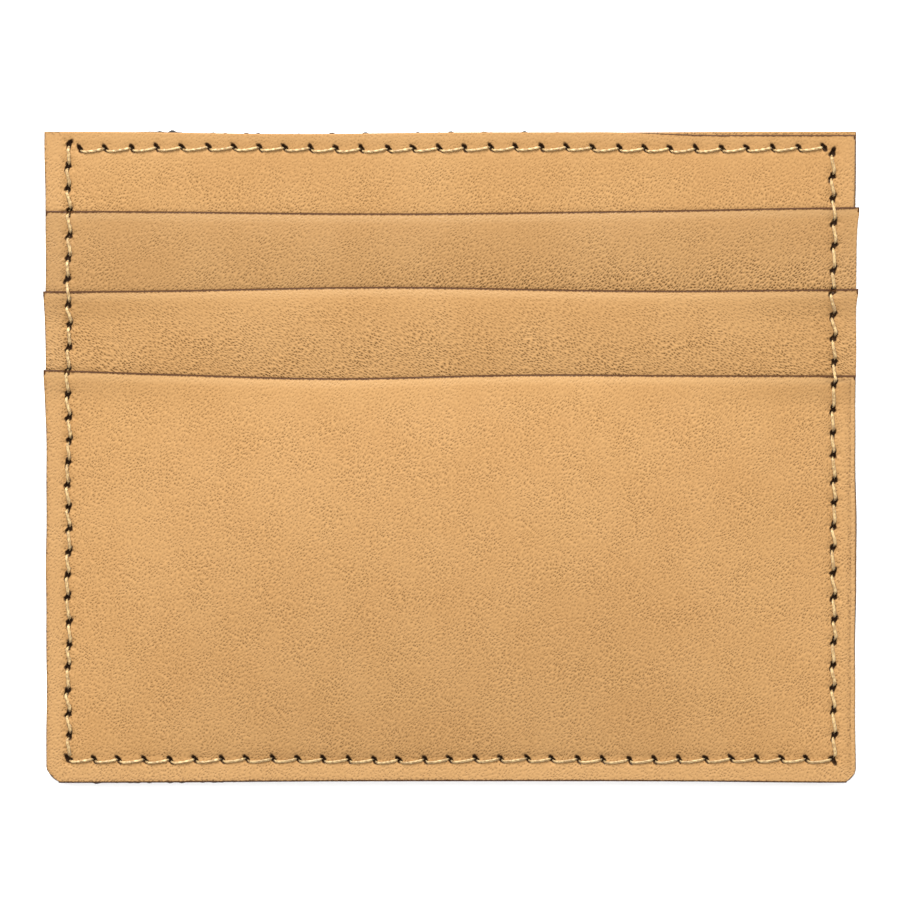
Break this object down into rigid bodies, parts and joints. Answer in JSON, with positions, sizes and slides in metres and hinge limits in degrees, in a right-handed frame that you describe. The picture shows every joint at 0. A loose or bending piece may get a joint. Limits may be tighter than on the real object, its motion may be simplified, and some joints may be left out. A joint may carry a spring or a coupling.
{
  "type": "card holder",
  "caption": "Flat tan leather card holder with staggered card pockets on its front, a dark-lined pocket open along the top edge and pale hand stitching.",
  "frame": {"origin": "middle of the outline, on the outer face of the back panel", "axes": "+X across the width, to the right seen from the front; +Y towards the open top edge; +Z out of the front face, away from the surface it lies on"},
  "size_m": [0.1, 0.08, 0.0066],
  "materials": {
    "leather_back": "undyed vegetable-tanned grain, satin, fine pores",
    "leather_front": "undyed vegetable-tanned grain, satin, fine pores",
    "leather_upper_pocket": "undyed vegetable-tanned grain, satin, fine pores",
    "leather_middle_pocket": "undyed vegetable-tanned grain, satin, fine pores",
    "leather_lower_pocket": "undyed vegetable-tanned grain, satin, fine pores",
    "lining": "thin dark cloth",
    "thread": "waxed pale thread"
  },
  "bodies": {
    "root": {"back_panel": "leather_back", "back_lining": "lining", "front_lining": "lining", "front_panel": "leather_front", "upper_pocket": "leather_upper_pocket", "middle_pocket": "leather_middle_pocket", "lower_pocket": "leather_lower_pocket", "outer_seam_thread": "thread", "front_top_thread": "thread", "back_top_thread": "thread", "upper_tail_thread": "thread", "middle_tail_thread": "thread"}
  },
  "joints": []
}
